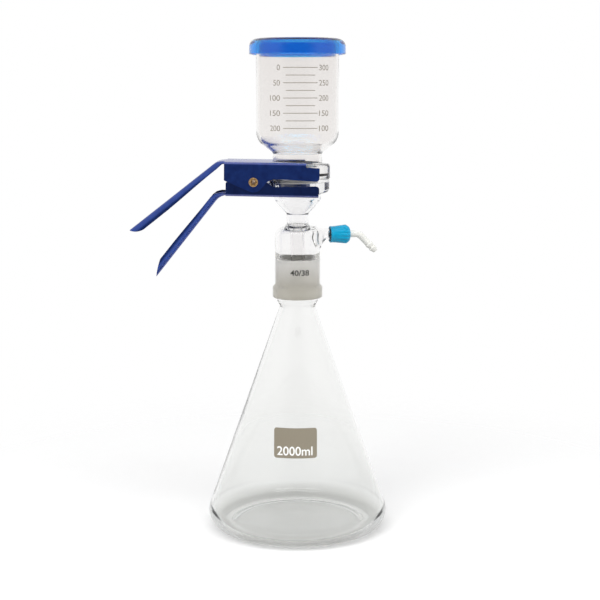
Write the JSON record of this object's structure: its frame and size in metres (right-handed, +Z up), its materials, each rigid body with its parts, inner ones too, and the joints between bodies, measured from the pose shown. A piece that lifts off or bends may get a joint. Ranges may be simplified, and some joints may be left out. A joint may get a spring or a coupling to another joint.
{
  "type": "vacuum filtration unit",
  "caption": "Laboratory vacuum filtration unit: graduated glass funnel with lid, spring clamp, glass head with side hose barb, and a conical flask.",
  "frame": {"origin": "centre of the flask's foot, on the surface it stands on", "axes": "+Z up along the glassware's axis, the clamp's handles towards -X, the side arm towards +X turned 12 degrees to +Y, -Y the printed front"},
  "size_m": [0.2516, 0.1774, 0.4796],
  "materials": {
    "glass": "gloss",
    "sintered_glass": "matt",
    "blue_aluminium": "satin",
    "blue_plastic": "gloss",
    "brass": "satin",
    "spring_steel": "satin",
    "cyan_plastic": "satin",
    "white_plastic": "satin",
    "seal_rubber": "matt"
  },
  "bodies": {
    "stand": {"flask_foot": "glass", "flask_lower_side": "glass", "flask_upper_side": "glass", "flask_neck": "glass", "receiver_head": "glass", "drip_tube": "glass", "head_bowl": "glass", "frit_disc": "sintered_glass", "funnel": "glass", "lid": "blue_plastic", "pivot_tube": "brass", "torsion_spring": "spring_steel", "hose_seal": "seal_rubber"},
    "upper_clamp": {"upper_lever": "blue_aluminium"},
    "lower_clamp": {"lower_lever": "blue_aluminium"},
    "cap": {"hose_cap": "cyan_plastic"},
    "barb": {"hose_barb": "white_plastic"}
  },
  "joints": [
    {"name": "upper_lever_pivot", "type": "hinge", "parent": "stand", "child": "upper_clamp", "pos_m": [-0.0415, 0, 0.34467], "axis": [0, -1, 0], "range_deg": [0, 7], "stiffness_Nm_per_rad": 0.6, "springref_deg": -22.92, "deforming": ["torsion_spring"]},
    {"name": "lower_lever_pivot", "type": "hinge", "parent": "stand", "child": "lower_clamp", "pos_m": [-0.0415, 0, 0.34467], "axis": [0, 1, 0], "range_deg": [0, 7], "stiffness_Nm_per_rad": 0.6, "springref_deg": -22.92, "deforming": ["torsion_spring"]},
    {"name": "hose_cap_turn", "type": "hinge", "parent": "stand", "child": "cap", "pos_m": [0.04108, 0.00873, 0.29097], "axis": [0.9781, 0.2079, 0], "range_deg": [0, 720]},
    {"name": "hose_barb_swivel", "type": "hinge", "parent": "stand", "child": "barb", "pos_m": [0.04793, 0.01019, 0.29097], "axis": [0.9781, 0.2079, 0], "continuous": true}
  ],
  "couplings": [
    {"joint": "lower_lever_pivot", "follows": "upper_lever_pivot", "ratio": 1}
  ]
}
